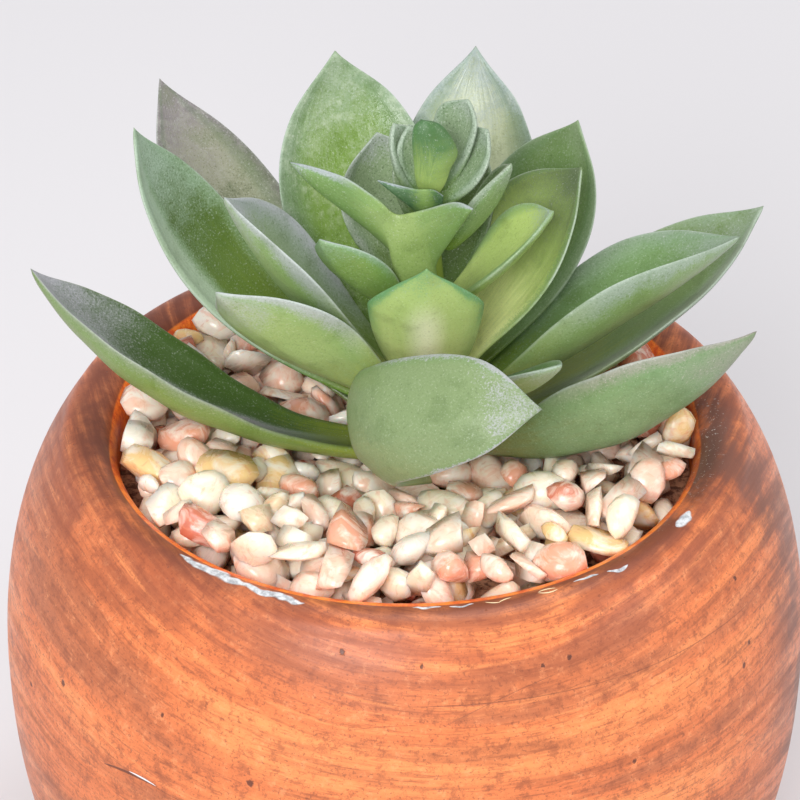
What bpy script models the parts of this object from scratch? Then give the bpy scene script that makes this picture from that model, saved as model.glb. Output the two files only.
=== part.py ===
"""Potted succulent: a rosette of thick, pointed leaves on a short stem, in a round, lipped pot
that is filled with soil and topped with polished pebbles. Metres, +Z up, base of the pot at z = 0."""
import math
import random
from typing import NamedTuple, Optional

import bmesh
import bpy
from mathutils import Matrix, Vector

# Pot, turned about the Z axis
POT_RADIUS = 0.060
BELLY_HEIGHT = 0.054
FOOT_RADIUS = 0.041
FOOT_EDGE = 0.0015
FOOT_PULL = (0.008, 0.010)
LOWER_BELLY_PULL = 0.034
UPPER_BELLY_PULL = 0.024
LIP_PULL = 0.002
LIP_RADIUS = 0.0044
LIP_CENTRE_RADIUS = 0.0467
LIP_CENTRE_HEIGHT = 0.0880
LIP_START = math.radians(27)
BORE_FLOOR_HEIGHT = 0.012
BORE_FLOOR_RADIUS = 0.039
LIP_STEPS = 7
UPPER_BELLY_STEPS = 7
LOWER_BELLY_STEPS = 6
POT_SIDES = 44

# Filling
GAP = 0.0003
SOIL_TOP = 0.0765
BED_LOW = 0.0825
BED_HIGH = 0.0867
BED_LOW_RADIUS = 0.012
BED_MIDDLE_RADIUS = 0.0215
BED_HIGH_RADIUS = 0.031
FRONT_HEAP = 0.0018
PEBBLE_COUNT = 112
PEBBLE_SEED = 9
PEBBLE_RADIUS = (0.0034, 0.0046)
PEBBLE_FIELD = (0.0090, 0.0378)
PEBBLE_SINK = (0.0004, 0.0014)
PEBBLE_LENGTH = (0.95, 1.25)
PEBBLE_BREADTH = (0.80, 1.00)
PEBBLE_HEIGHT = (0.62, 0.85)
PEBBLE_KNOCK = (0.88, 1.12)
PEBBLE_TILT = 0.35

# Plant
PLANT_X = 0.003
STEM_FOOT = 0.0660
STEM_TOP = 0.1277
STEM_OUTLINE = ((STEM_FOOT, 0.0036), (0.104, 0.0034), (0.116, 0.0026), (STEM_TOP, 0.0016))
STEM_SIDES = 16
ROOT_CLEARANCE = 0.0006
COLLAR_FOOT = 0.1176
COLLAR_TOP = 0.1200
COLLAR_WALL = 0.0010
HEART_FOOT = STEM_TOP + GAP
HEART_TOP = 0.1335
HEART_CORE_RADII = (0.0008, 0.0016)

# Leaf section and skin: shares of the thickness, the cup and the length
THICKNESS_AT_ROOT = 1.25
THICKNESS_AT_TIP = 0.50
LEAST_WIDTH_TO_THICKNESS = 2.2
SECTION_POWER = 0.6
CUP_AT_ENDS = 0.75
ROOT_ROUNDING = 0.05
STATION_CROWDING = 0.35
LEAF_STATIONS = 12
LEAF_SIDES = 10
HEART_STATIONS = 9
HEART_SIDES = 8


class Leaf(NamedTuple):
    """One leaf. Angles are in degrees; azimuth runs from +X, the right, towards +Y, the back.

    Azimuth, rise and length set the chord from root to tip, roll turns the leaf about it and twist
    winds it. Sag and sway bow it down and to the left, as shares of its length. Cup is the angle
    that each half of its section bends up, and skew gives more of that to its left half.
    """
    name: str
    azimuth: float
    rise: float
    length: float
    root_height: float
    half_width: float
    cup: float = 40
    roll: float = 0
    twist: float = 0
    sag: float = 0.06
    sway: float = 0.0
    skew: float = 0.0
    root_azimuth: Optional[float] = None
    root_radius: Optional[float] = None
    root_width: float = 0.34
    widest: float = 0.60
    growth: float = 1.8
    tip_power: float = 2.1
    thickness: float = 0.0018


# Long outer leaves, from the left round by the right to the back
OUTER_LEAVES = (
    Leaf("outer_leaf_1", 177, 28.5, 0.0605, 0.0870, 0.0095, cup=55, roll=-4, sag=0.09, sway=0.08,
         root_width=0.40, widest=0.66, growth=3.0, thickness=0.0022),
    Leaf("outer_leaf_2", -61, 41, 0.0440, 0.0878, 0.0095, cup=47, roll=85, twist=40, sag=0.35,
         sway=-0.11, skew=-0.3, root_azimuth=-100, root_radius=0.0049, root_width=0.68,
         widest=0.34, growth=1.1, tip_power=6.0),
    Leaf("outer_leaf_3", -42, 35, 0.0263, 0.0980, 0.0060, cup=45, roll=10),
    Leaf("outer_leaf_4", -9, 28, 0.0497, 0.0900, 0.0125, cup=50, roll=50, twist=-25, sag=0.15,
         root_azimuth=-28, root_width=0.30),
    Leaf("outer_leaf_5", 10, 32, 0.0496, 0.0925, 0.0110, cup=62, roll=6, sag=0.0),
    Leaf("outer_leaf_6", 22, 29, 0.0568, 0.0890, 0.0110, cup=45),
    Leaf("outer_leaf_7", 62, 15, 0.0430, 0.0865, 0.0085, root_width=0.30),
    Leaf("outer_leaf_8", 84, 29, 0.0460, 0.0885, 0.0095, cup=30),
    Leaf("outer_leaf_9", 115, 16, 0.0470, 0.0865, 0.0095, root_width=0.30),
    Leaf("outer_leaf_10", 138, 38.5, 0.0632, 0.0895, 0.0110, cup=35, sag=0.12),
)

# Half-upright middle leaves
MIDDLE_LEAVES = (
    Leaf("middle_leaf_1", 167, 46.5, 0.0568, 0.0945, 0.0095, cup=45, roll=8, sag=0.17),
    Leaf("middle_leaf_2", -156, 42, 0.0380, 0.0972, 0.0100, cup=35, roll=-40, sag=0.04),
    Leaf("middle_leaf_3", -178, 51, 0.0390, 0.1005, 0.0110, cup=60, roll=-8),
    Leaf("middle_leaf_4", 13, 59, 0.0363, 0.1010, 0.0105, cup=50, sag=0.0),
    Leaf("middle_leaf_5", 41, 53.5, 0.0425, 0.0975, 0.0110, cup=45, sag=0.12),
    Leaf("middle_leaf_6", 79, 49, 0.0546, 0.0915, 0.0115, sway=-0.02),
    Leaf("middle_leaf_7", 114, 55, 0.0506, 0.0955, 0.0130, sway=0.04, growth=1.4),
)

# Short inner leaves
INNER_LEAVES = (
    Leaf("inner_leaf_1", -90, 66, 0.0271, 0.1030, 0.0090, cup=35),
    Leaf("inner_leaf_2", -152, 48, 0.0204, 0.1130, 0.0060, roll=-30),
    Leaf("inner_leaf_3", -10, 49, 0.0226, 0.1128, 0.0072, sag=0.02),
    Leaf("inner_leaf_4", 118, 61.5, 0.0241, 0.1120, 0.0095, cup=45, sag=0.12),
    Leaf("inner_leaf_5", 60, 60, 0.0260, 0.1075, 0.0045, cup=45),
    Leaf("inner_leaf_6", 0, 56, 0.0166, 0.1220, 0.0060, cup=45, roll=18),
    Leaf("inner_leaf_7", 92, 62, 0.0160, 0.1210, 0.0050, cup=45),
)

# Two leaves grown together by a short web, a V in front
LEAF_PAIR = (
    Leaf("pair_left", -171, 49, 0.0249, 0.1190, 0.0080, cup=60, roll=-25,
         root_radius=0.0036, root_width=0.65, growth=1.0),
    Leaf("pair_right", -49, 58, 0.0171, 0.1190, 0.0048, cup=50, roll=20, skew=-0.2,
         root_radius=0.0036, root_width=0.70, growth=1.0),
    Leaf("pair_web", -112, 71, 0.0128, 0.1190, 0.0064, cup=75, sag=0.0, root_radius=0.0036,
         root_width=0.75, growth=1.0, tip_power=8.0),
)

# The smallest leaves, grown together round the stem's tip
HEART_LEAVES = (
    Leaf("heart_left_low", -176, 39, 0.0082, 0.1295, 0.0033, cup=45, roll=-20,
         root_azimuth=-100, root_radius=0.0026),
    Leaf("heart_left", 180, 50, 0.0081, 0.1290, 0.0035, cup=45, root_radius=0.0010),
    Leaf("heart_front", -89, 84, 0.0156, 0.1290, 0.0034, cup=35, root_radius=0.0015, widest=0.62),
    Leaf("heart_back", 45, 66, 0.0140, 0.1300, 0.0044, cup=35, root_radius=0.0015, tip_power=3.0),
    Leaf("heart_back_left", 129, 75, 0.0108, 0.1300, 0.0036, cup=35, root_radius=0.0010),
    Leaf("heart_right", 7, 61, 0.0140, 0.1280, 0.0055, cup=45, root_radius=0.0010),
)


def clear_scene():
    """Remove everything that the file holds."""
    for obj in list(bpy.data.objects):
        bpy.data.objects.remove(obj, do_unlink=True)


def make_collection(name):
    """Add a collection to the scene."""
    collection = bpy.data.collections.new(name)
    bpy.context.scene.collection.children.link(collection)
    return collection


def make_material(name, colour, roughness, metallic=0.0):
    """A plain Principled material."""
    material = bpy.data.materials.new(name)
    material.use_nodes = True
    shader = material.node_tree.nodes["Principled BSDF"]
    shader.inputs["Base Color"].default_value = (*colour, 1.0)
    shader.inputs["Roughness"].default_value = roughness
    shader.inputs["Metallic"].default_value = metallic
    return material


def add_object(name, mesh, material, collection):
    """Link a mesh as a named object with its own material."""
    obj = bpy.data.objects.new(name, mesh)
    mesh.materials.clear()
    mesh.materials.append(material)
    collection.objects.link(obj)
    return obj


def bezier(start, pull_start, pull_end, end, steps):
    """Points of a cubic curve, without its first point."""
    points = []
    for step in range(1, steps + 1):
        t = step / steps
        s = 1 - t
        points.append(tuple(
            s ** 3 * a + 3 * s * s * t * b + 3 * s * t * t * c + t ** 3 * d
            for a, b, c, d in zip(start, pull_start, pull_end, end)))
    return points


def bore_radius(height):
    """Inner radius of the pot: the mouth's, narrowing a little towards the floor."""
    mouth = LIP_CENTRE_RADIUS - LIP_RADIUS
    share = (LIP_CENTRE_HEIGHT - height) / (LIP_CENTRE_HEIGHT - BORE_FLOOR_HEIGHT)
    return mouth + (BORE_FLOOR_RADIUS - mouth) * max(0.0, min(1.0, share))


def turn(name, outline, sides, material, collection, axis_x=0.0):
    """Turn an outline of (radius, height) points, which runs down its outer side, about Z."""
    mesh = bpy.data.meshes.new(name)
    edges = [(i, i + 1) for i in range(len(outline) - 1)]
    mesh.from_pydata([(radius, 0.0, height) for radius, height in outline], edges, [])
    obj = add_object(name, mesh, material, collection)
    obj.location.x = axis_x
    screw = obj.modifiers.new("Turn", "SCREW")
    screw.axis = "Z"
    screw.steps = sides
    screw.render_steps = sides
    screw.use_merge_vertices = True
    screw.merge_threshold = 0.00001
    screw.use_smooth_shade = True
    return obj


def pot_outline():
    """Mouth, lip, belly and foot outside, then the floor and the bore inside."""
    lip_point = (LIP_CENTRE_RADIUS + LIP_RADIUS * math.cos(LIP_START),
                 LIP_CENTRE_HEIGHT + LIP_RADIUS * math.sin(LIP_START))
    lip_pull = (lip_point[0] + math.sin(LIP_START) * LIP_PULL,
                lip_point[1] - math.cos(LIP_START) * LIP_PULL)
    outline = []
    for step in range(LIP_STEPS):
        angle = math.pi + (LIP_START - math.pi) * step / LIP_STEPS
        outline.append((LIP_CENTRE_RADIUS + LIP_RADIUS * math.cos(angle),
                        LIP_CENTRE_HEIGHT + LIP_RADIUS * math.sin(angle)))
    outline.append(lip_point)
    belly = (POT_RADIUS, BELLY_HEIGHT)
    outline += bezier(lip_point, lip_pull, (POT_RADIUS, BELLY_HEIGHT + UPPER_BELLY_PULL), belly,
                      UPPER_BELLY_STEPS)
    foot = (FOOT_RADIUS + FOOT_EDGE, FOOT_EDGE)
    foot_pull = (FOOT_RADIUS + FOOT_PULL[0], FOOT_EDGE + FOOT_PULL[1])
    outline += bezier(belly, (POT_RADIUS, BELLY_HEIGHT - LOWER_BELLY_PULL), foot_pull, foot,
                      LOWER_BELLY_STEPS)
    outline.append((FOOT_RADIUS, 0.0))
    outline.append((0.0, 0.0))
    outline.append((0.0, BORE_FLOOR_HEIGHT))
    outline.append((BORE_FLOOR_RADIUS, BORE_FLOOR_HEIGHT))
    outline.append(outline[0])
    return outline


def build_pot(collection):
    """The turned pot, one shell with a thick rounded lip."""
    material = make_material("pot_finish", (0.45, 0.16, 0.06), 0.45)
    return turn("pot", pot_outline(), POT_SIDES, material, collection)


def build_soil(collection):
    """The filling under the pebbles, with a plain blind hole for the stem."""
    material = make_material("soil_finish", (0.06, 0.045, 0.035), 0.95)
    floor = BORE_FLOOR_HEIGHT + GAP
    outline = [(0.0, SOIL_TOP), (bore_radius(SOIL_TOP) - GAP, SOIL_TOP),
               (bore_radius(floor) - GAP, floor), (0.0, floor)]
    soil = turn("soil", outline, POT_SIDES, material, collection)
    return drill_for_stem(soil)


def drill_for_stem(obj):
    """Cut the stem's hole: the stem's own outline, grown by the gap."""
    outline = [(0.0, STEM_TOP)]
    outline += [(radius + GAP, height) for height, radius in reversed(STEM_OUTLINE)]
    outline += [(STEM_OUTLINE[0][1] + GAP, STEM_FOOT - GAP), (0.0, STEM_FOOT - GAP)]
    cutter = turn(obj.name + "_stem_hole", outline, STEM_SIDES, obj.data.materials[0],
                  bpy.data.collections["cutters"], axis_x=PLANT_X)
    cutter.hide_render = True
    cutter.display_type = "WIRE"
    hole = obj.modifiers.new("Stem hole", "BOOLEAN")
    hole.operation = "DIFFERENCE"
    hole.object = cutter
    return obj


def bed_height(radius):
    """Height of the pebble bed: lower round the plant, higher towards the pot's wall."""
    share = (radius - BED_LOW_RADIUS) / (BED_HIGH_RADIUS - BED_LOW_RADIUS)
    share = max(0.0, min(1.0, share))
    return BED_LOW + (BED_HIGH - BED_LOW) * share * share * (3 - 2 * share)


def make_pebble(draw, centre, wall):
    """One low stone: a small icosphere, flattened, turned and knocked out of round."""
    shape = bmesh.new()
    size = draw.uniform(*PEBBLE_RADIUS)
    bmesh.ops.create_icosphere(shape, subdivisions=1, radius=size)
    stretch = Matrix.Diagonal((draw.uniform(*PEBBLE_LENGTH), draw.uniform(*PEBBLE_BREADTH),
                               draw.uniform(*PEBBLE_HEIGHT), 1.0))
    for vert in shape.verts:
        vert.co *= draw.uniform(*PEBBLE_KNOCK)
    tilt = Matrix.Rotation(draw.uniform(-PEBBLE_TILT, PEBBLE_TILT), 4, "X")
    turned = Matrix.Rotation(draw.uniform(0, 2 * math.pi), 4, "Z")
    bmesh.ops.transform(shape, matrix=Matrix.Translation(centre) @ turned @ tilt @ stretch,
                        verts=shape.verts)
    for vert in shape.verts:
        reach = math.hypot(vert.co.x, vert.co.y)
        if reach > wall:
            vert.co.xy *= wall / reach
    mesh = bpy.data.meshes.new("pebble")
    shape.to_mesh(mesh)
    shape.free()
    return mesh


def build_gravel(collection):
    """The pebble bed: a dished disc with stones fused on it in a sunflower spiral, heaped in front."""
    material = make_material("gravel_finish", (0.75, 0.52, 0.40), 0.35)
    rim = bore_radius(BED_HIGH) - GAP
    wall = (bore_radius(SOIL_TOP) - GAP) * math.cos(math.pi / POT_SIDES)
    radii = (0.0, BED_LOW_RADIUS, BED_MIDDLE_RADIUS, BED_HIGH_RADIUS, rim)
    outline = [(radius, bed_height(radius)) for radius in radii]
    outline += [(bore_radius(SOIL_TOP) - GAP, SOIL_TOP + GAP), (0.0, SOIL_TOP + GAP)]
    gravel = turn("gravel", outline, POT_SIDES, material, collection)
    draw = random.Random(PEBBLE_SEED)
    stones = make_collection("stones")
    inner, outer = PEBBLE_FIELD
    for number in range(PEBBLE_COUNT):
        share = (number + 0.5) / PEBBLE_COUNT
        radius = math.sqrt(inner ** 2 + (outer ** 2 - inner ** 2) * share)
        angle = number * math.pi * (3 - math.sqrt(5))
        front = max(0.0, -math.sin(angle)) * (1 - share)
        height = bed_height(radius) + FRONT_HEAP * front - draw.uniform(*PEBBLE_SINK)
        centre = Vector((radius * math.cos(angle), radius * math.sin(angle), height))
        add_object("stone", make_pebble(draw, centre, wall), material, stones)
    fuse_collection(gravel, stones)
    return drill_for_stem(gravel)


def fuse_collection(obj, pieces):
    """Join every object of a collection to one object, then remove the collection's objects."""
    join = obj.modifiers.new("Fuse", "BOOLEAN")
    join.operation = "UNION"
    join.operand_type = "COLLECTION"
    join.collection = pieces
    join.solver = "EXACT"
    depsgraph = bpy.context.evaluated_depsgraph_get()
    fused = bpy.data.meshes.new_from_object(obj.evaluated_get(depsgraph))
    material = obj.data.materials[0]
    obj.modifiers.clear()
    obj.data = fused
    fused.materials.clear()
    fused.materials.append(material)
    for piece in list(pieces.objects):
        bpy.data.objects.remove(piece, do_unlink=True)
    bpy.data.collections.remove(pieces)


def build_stem(collection):
    """The short core that stands in the soil and carries the leaves."""
    material = make_material("stem_finish", (0.42, 0.48, 0.20), 0.55)
    outline = [(0.0, STEM_TOP)]
    outline += [(radius, height) for height, radius in reversed(STEM_OUTLINE)]
    outline.append((0.0, STEM_FOOT))
    return turn("stem", outline, STEM_SIDES, material, collection, axis_x=PLANT_X)


def stem_radius(height):
    """Radius of the stem at a height."""
    for (low, low_radius), (high, high_radius) in zip(STEM_OUTLINE, STEM_OUTLINE[1:]):
        if height <= high:
            return low_radius + (high_radius - low_radius) * (height - low) / (high - low)
    return STEM_OUTLINE[-1][1]


def leaf_axes(leaf):
    """Unit vectors along the leaf's chord, out of its upper face, and to its left."""
    azimuth = math.radians(leaf.azimuth)
    rise = math.radians(leaf.rise)
    along = Vector((math.cos(rise) * math.cos(azimuth), math.cos(rise) * math.sin(azimuth),
                    math.sin(rise)))
    upper = Vector((-math.sin(rise) * math.cos(azimuth), -math.sin(rise) * math.sin(azimuth),
                    math.cos(rise)))
    left = upper.cross(along)
    return along, *turned_pair(upper, left, math.radians(leaf.roll))


def turned_pair(upper, left, angle):
    """Turn a leaf's two cross vectors about its length."""
    return (upper * math.cos(angle) + left * math.sin(angle),
            left * math.cos(angle) - upper * math.sin(angle))


def leaf_root(leaf):
    """Where the leaf springs from, just clear of the stem."""
    azimuth = math.radians(leaf.azimuth if leaf.root_azimuth is None else leaf.root_azimuth)
    radius = leaf.root_radius
    if radius is None:
        radius = stem_radius(leaf.root_height) + ROOT_CLEARANCE
    return Vector((PLANT_X + radius * math.cos(azimuth), radius * math.sin(azimuth), leaf.root_height))


def leaf_half_width(leaf, t):
    """Half the leaf's width, measured round its cupped section, at a share t of its length."""
    if t < leaf.widest:
        share = math.sin(math.pi / 2 * t / leaf.widest) ** leaf.growth
        width = leaf.root_width + (1 - leaf.root_width) * share
    else:
        width = 1 - ((t - leaf.widest) / (1 - leaf.widest)) ** leaf.tip_power
    return leaf.half_width * width


def root_taper(t):
    """Rounds off the root end: 0 at the root, 1 from ROOT_ROUNDING on."""
    return math.sqrt(1 - (1 - min(t / ROOT_ROUNDING, 1.0)) ** 2)


def leaf_point(leaf, t, turn_angle):
    """A point of the leaf's skin, at a share t of its length and an angle round its section."""
    along, upper, left = leaf_axes(leaf)
    bow = 4 * t * (1 - t) * leaf.length
    centre = (leaf_root(leaf) + along * leaf.length * t
              - upper * leaf.sag * bow + left * leaf.sway * bow)
    upper, left = turned_pair(upper, left, math.radians(leaf.twist) * (t - 0.5))
    half_width = leaf_half_width(leaf, t) * root_taper(t)
    half_thickness = leaf.thickness / 2 * (THICKNESS_AT_ROOT * (1 - t) + THICKNESS_AT_TIP * t)
    least_width = LEAST_WIDTH_TO_THICKNESS * half_thickness
    half_thickness *= math.sqrt(min(1.0, half_width / least_width))
    cup = math.radians(leaf.cup) * (CUP_AT_ENDS + (1 - CUP_AT_ENDS) * math.sin(math.pi * t))
    curve_radius = max(half_width, 1e-7) / cup
    across = math.cos(turn_angle) * cup
    across *= 1 + leaf.skew * math.copysign(1.0, across)
    side = math.sin(turn_angle)
    inset = curve_radius - math.copysign(abs(side) ** SECTION_POWER, side) * half_thickness
    return centre + left * inset * math.sin(across) + upper * (curve_radius - inset * math.cos(across))


def leaf_mesh(leaf, stations, sides):
    """Shape a UV sphere into the leaf: its poles become the root and the tip."""
    shape = bmesh.new()
    bmesh.ops.create_uvsphere(shape, u_segments=sides, v_segments=stations, radius=1.0)
    for vert in shape.verts:
        depth = max(-1.0, min(1.0, -vert.co.z))
        share = math.acos(depth) / math.pi
        t = share + STATION_CROWDING * ((1 - depth) / 2 - share)
        vert.co = leaf_point(leaf, t, math.atan2(vert.co.y, vert.co.x))
    mesh = bpy.data.meshes.new(leaf.name)
    shape.to_mesh(mesh)
    shape.free()
    mesh.shade_smooth()
    return mesh


def build_leaves(leaves, colour, collection):
    """One object for each leaf."""
    for leaf in leaves:
        material = make_material(leaf.name + "_finish", colour, 0.45)
        add_object(leaf.name, leaf_mesh(leaf, LEAF_STATIONS, LEAF_SIDES), material, collection)


def build_cluster(name, leaves, core_outline, colour, stations, sides, collection):
    """Leaves that have grown together: fused to one small turned core."""
    material = make_material(name + "_finish", colour, 0.45)
    cluster = turn(name, core_outline, STEM_SIDES, material, collection, axis_x=PLANT_X)
    pieces = make_collection(name + "_leaves")
    for leaf in leaves:
        add_object(leaf.name, leaf_mesh(leaf, stations, sides), material, pieces)
    fuse_collection(cluster, pieces)
    return cluster


def build_leaf_pair(collection):
    """The V: a short collar round the stem, its two leaves and the web between them."""
    top = stem_radius(COLLAR_TOP) + GAP
    foot = stem_radius(COLLAR_FOOT) + GAP
    collar = [(top, COLLAR_TOP), (top + COLLAR_WALL, COLLAR_TOP), (foot + COLLAR_WALL, COLLAR_FOOT),
              (foot, COLLAR_FOOT), (top, COLLAR_TOP)]
    return build_cluster("leaf_pair", LEAF_PAIR, collar, (0.34, 0.48, 0.22),
                         LEAF_STATIONS, LEAF_SIDES, collection)


def build_heart(collection):
    """The smallest leaves, on the last few millimetres of the stem's tip."""
    top, foot = HEART_CORE_RADII
    core = [(0.0, HEART_TOP), (top, HEART_TOP), (foot, HEART_FOOT), (0.0, HEART_FOOT)]
    return build_cluster("heart", HEART_LEAVES, core, (0.26, 0.42, 0.24),
                         HEART_STATIONS, HEART_SIDES, collection)


def main():
    """Build the potted plant."""
    clear_scene()
    plant = make_collection("potted_succulent")
    make_collection("cutters")
    build_pot(plant)
    build_soil(plant)
    build_gravel(plant)
    build_stem(plant)
    build_leaves(OUTER_LEAVES, (0.20, 0.33, 0.20), plant)
    build_leaves(MIDDLE_LEAVES, (0.26, 0.42, 0.22), plant)
    build_leaves(INNER_LEAVES, (0.33, 0.50, 0.24), plant)
    build_leaf_pair(plant)
    build_heart(plant)


main()
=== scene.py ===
import math
import random
from typing import NamedTuple

import bpy
import numpy as np
from mathutils import Euler, Matrix, Vector
from mathutils.bvhtree import BVHTree


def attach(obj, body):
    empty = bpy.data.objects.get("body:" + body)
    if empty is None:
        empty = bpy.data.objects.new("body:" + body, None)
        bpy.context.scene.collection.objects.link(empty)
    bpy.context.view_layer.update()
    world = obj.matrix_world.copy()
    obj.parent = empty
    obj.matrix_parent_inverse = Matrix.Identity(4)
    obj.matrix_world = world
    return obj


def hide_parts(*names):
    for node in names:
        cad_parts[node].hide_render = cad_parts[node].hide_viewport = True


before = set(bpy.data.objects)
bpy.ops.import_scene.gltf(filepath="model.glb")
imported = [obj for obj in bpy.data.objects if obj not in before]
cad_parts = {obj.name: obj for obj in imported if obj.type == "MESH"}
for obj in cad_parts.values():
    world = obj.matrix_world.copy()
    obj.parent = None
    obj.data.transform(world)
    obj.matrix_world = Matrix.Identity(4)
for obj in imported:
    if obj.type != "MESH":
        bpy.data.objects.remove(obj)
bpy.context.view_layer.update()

BODY = "root"

# Photograph: 800 x 800 pixels, taken from 34 degrees above level
PHOTO_SIZE = 800
VIEW_ELEVATION = math.radians(34)
VIEW_DISTANCE = 0.600
VIEW_CENTRE = Vector((0.0, 0.0, 0.0956))
FOCAL_PIXELS = 4107
AXIS_OFFSET_PIXELS = 5
SENSOR_WIDTH = 36.0

# Pot
POT_RADIUS = 0.060
BELLY_HEIGHT = 0.054
FOOT_RADIUS = 0.041
FOOT_EDGE = 0.0015
FOOT_PULL = (0.008, 0.010)
LOWER_BELLY_PULL = 0.034
UPPER_BELLY_PULL = 0.024
LIP_PULL = 0.002
LIP_RADIUS = 0.0044
LIP_CENTRE_RADIUS = 0.0467
LIP_CENTRE_HEIGHT = 0.0880
LIP_START = math.radians(27)
BORE_FLOOR_HEIGHT = 0.012
BORE_FLOOR_RADIUS = 0.039
LIP_STEPS = 24
BELLY_STEPS = 30
FOOT_STEPS = 4
BORE_STEPS = 24
POT_SEGMENTS = 240
SMOOTH_ANGLE = math.radians(40)

# The log that the pot looks turned from, the streaked part of its right side that carries painted
# shade, and its burnt part, in degrees round from the front
PITH_PLACE = (0.0069, 0.0117, 0.1129)
PITH_TILT = math.radians(56)
STREAKED_AND_SHADED_SIDE = (68, 92)
BURNT_SIDE = (56, 104)

# Marks on the pot: degrees round from its front and mm up, then a radius or a half width and a bow
POT_PITS = ((-56.4, 68.7, 0.55), (-9.6, 88.4, 0.45), (-21.4, 68.4, 0.60), (25.2, 85.4, 0.35),
            (20.8, 85.3, 0.30), (59.8, 83.5, 0.35), (56.3, 71.7, 0.50), (58.6, 74.1, 0.45),
            (-36.0, 74.0, 0.30), (2.5, 87.0, 0.35), (33.0, 68.0, 0.35), (-66.0, 62.0, 0.40))
POT_CRACKS = (((-46.0, 61.2), (-36.0, 62.4), 0.28, 0.5),)
POT_HAIRLINES = (((-1.0, 82.0), (36.0, 80.6), 0.10, 0.3), ((30.0, 80.8), (66.0, 78.6), 0.09, 0.2),
                 ((-37.0, 62.4), (-30.0, 61.8), 0.10, -0.1), ((5.0, 79.0), (24.0, 84.0), 0.07, 0.8),
                 ((-8.0, 78.5), (2.0, 79.5), 0.07, 0.3))
POT_SPLINTER = ((-41.0, 62.6), (-36.0, 62.5), 0.17, 0.15)

# Chips and glue on the lip, two of the chips being painted highlights: mm round from the front and
# mm from the axis, half width and bow
LIP_MM_PER_DEGREE = 0.8
LIP_CHIPS_AND_HIGHLIGHTS = (((-34.5, 46.0), (-22.0, 46.4), 1.00, 0.1), ((-25.0, 46.2), (-13.5, 47.3), 0.80, 0.1),
             # the two short marks from 1 to 9.5 mm round from the front are painted highlights, not
             # chips
             ((1.0, 46.3), (5.0, 46.4), 0.25, 0.0), ((6.0, 46.4), (9.5, 46.5), 0.28, 0.1),
             ((43.6, 47.1), (48.0, 46.7), 1.00, 0.0), ((29.2, 47.4), (32.6, 47.6), 0.34, 0.0),
             ((24.0, 46.6), (28.0, 46.9), 0.30, 0.0))
LIP_GLUE = (((11.0, 46.2), (13.0, 46.8), 0.12, 0.15), ((12.8, 46.8), (14.8, 46.2), 0.12, -0.15),
            ((18.5, 46.5), (21.4, 46.9), 0.12, 0.35), ((18.6, 46.4), (21.3, 46.6), 0.12, -0.25))

# Plant
PLANT_X = 0.003
STEM_OUTLINE = ((0.066, 0.0036), (0.104, 0.0034), (0.116, 0.0026), (0.1277, 0.0016))
ROOT_CLEARANCE = 0.0006
THICKNESS_AT_ROOT = 1.25
THICKNESS_AT_TIP = 0.50
LEAST_WIDTH_TO_THICKNESS = 2.2
SECTION_POWER = 0.85
CUP_AT_ENDS = 0.75
ROOT_ROUNDING = 0.05
STATION_CROWDING = 0.35
LEAF_RINGS = 64
LEAF_SEGMENTS = 56
TIP_START = 0.84
TIP_PINCH = 0.38
SHOULDER_HEIGHT = 0.00030
SHOULDER_PLACE = 0.86
SHOULDER_SPREAD = 0.10
KEEL_DEPTH = 0.00045
KEEL_SPREAD = 0.22
RIPPLE_HEIGHT = 0.00011
RIPPLE_HALF_WIDTH = 0.0095
RIPPLES = 5
SHEET_POWER = 0.7
SHEET_HALF_WIDTH = 0.004

# Pebbles
PEBBLE_SEED = 4
PEBBLE_KINDS = 16
PEBBLE_COUNT = 700
PEBBLE_TRIES = 2500
PEBBLE_HEAP = 0.0050
PEBBLE_CHOICES = 40
PEBBLE_CLOSENESS = 0.77
PEBBLE_FLATNESS = 0.60
PEBBLE_TILT = 0.42
PEBBLE_LEAST, PEBBLE_MOST, PEBBLE_USUAL = 0.0022, 0.0046, 0.0034
PEBBLE_WALL_ROOM, PEBBLE_STEM_ROOM, PEBBLE_LEAF_ROOM = 0.78, 0.7, 0.9
PEBBLE_REST_HEIGHT = 0.6
PEBBLE_TINTS = ((0.00, (252, 232, 206)), (0.22, (252, 206, 184)), (0.42, (250, 220, 198)),
                (0.57, (238, 170, 142)), (0.67, (250, 206, 146)), (0.75, (246, 234, 220)),
                (0.85, (228, 204, 170)), (0.92, (204, 122, 98)))
PEBBLE_BED_DEPTH = 0.0035
BED_HEIGHT_AT_WALL = 0.0872
BED_HEIGHT_AT_STEM = 0.0828
BED_SLOPE_START = 0.012
BED_SLOPE_WIDTH = 0.019
BED_UNDERSIDE = 0.0768
BED_GAP = 0.0003
BED_TAPER = 0.0004
BED_STEPS = 20
BED_SEGMENTS = 96

# Studio lights: name, place, size in metres and power in watts
LIGHTS = (("key", (-0.30, -1.05, 0.80), 0.60, 14.0), ("top", (0.15, 0.20, 1.20), 0.60, 5.0),
          ("side", (0.95, -0.30, 0.50), 0.50, 2.0))
LIGHT_AIM_HEIGHT = 0.09

# The Mix node's sockets when it mixes colours
MIX_SHARE, MIX_FIRST, MIX_SECOND, MIX_RESULT = 0, 6, 7, 2


class Leaf(NamedTuple):
    """One leaf, with the same values as its solid, in degrees and metres, and its colouring."""
    name: str
    azimuth: float
    rise: float
    length: float
    root_height: float
    half_width: float
    cup: float = 40
    roll: float = 0
    twist: float = 0
    sag: float = 0.06
    sway: float = 0.0
    skew: float = 0.0
    root_azimuth: float = None
    root_radius: float = None
    root_width: float = 0.34
    widest: float = 0.60
    growth: float = 1.8
    tip_power: float = 2.1
    thickness: float = 0.0018
    left_fold: float = 0.0
    right_fold: float = 0.0
    hook: float = 0.0
    frost_left: float = 1.0
    frost_right: float = 1.0
    frost_reach: float = 0.0
    hue: str = "green"


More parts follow.
